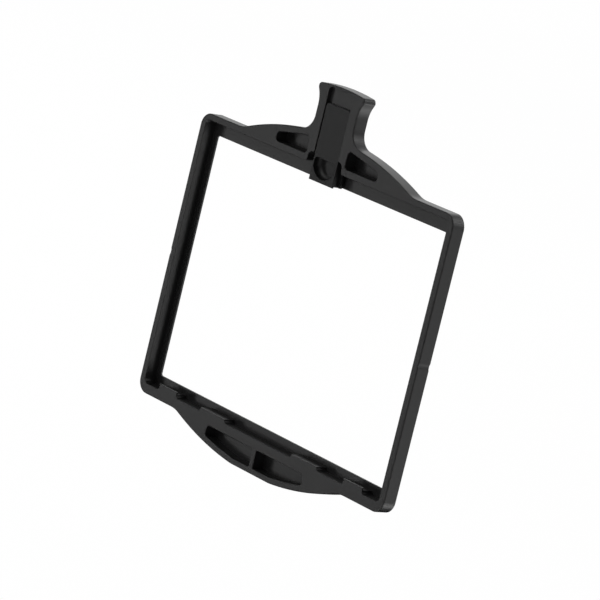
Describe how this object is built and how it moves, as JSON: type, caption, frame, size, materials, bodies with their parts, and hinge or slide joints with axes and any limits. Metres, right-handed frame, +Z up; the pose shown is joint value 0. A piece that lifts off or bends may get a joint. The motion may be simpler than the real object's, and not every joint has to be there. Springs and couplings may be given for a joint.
{
  "type": "matte box filter tray",
  "caption": "Camera filter tray: thin rectangular frame with a T-shaped finger handle and a sprung sliding latch that holds a glass filter in its pocket.",
  "frame": {"origin": "middle of the window, on the tray's front face", "axes": "+X to the right across the tray, +Y from the front face to the back face, +Z up towards the handle"},
  "size_m": [0.15, 0.0056, 0.1459],
  "materials": {
    "frame_anodised": "bead-blasted, hard black anodised, satin",
    "latch_acetal": "machined black acetal, fine tool marks",
    "pad_rubber": "matt black silicone rubber",
    "insert_brass": "turned brass",
    "screw_steel": "black-oxide stainless steel",
    "spring_steel": "drawn stainless spring wire",
    "rod_steel": "ground stainless rod"
  },
  "bodies": {
    "frame": {"tray_frame": "frame_anodised", "spring_guide_rod": "rod_steel", "latch_spring": "spring_steel"},
    "latch": {"latch_slider": "latch_acetal", "latch_pads": "pad_rubber", "thread_inserts": "insert_brass", "stop_screws": "screw_steel"}
  },
  "joints": [
    {"name": "latch_slide", "type": "slide", "parent": "frame", "child": "latch", "axis": [0, 0, 1], "range_m": [0, 0.0056], "stiffness_N_per_m": 620, "springref_m": -0.003, "deforming": ["latch_spring"]}
  ]
}
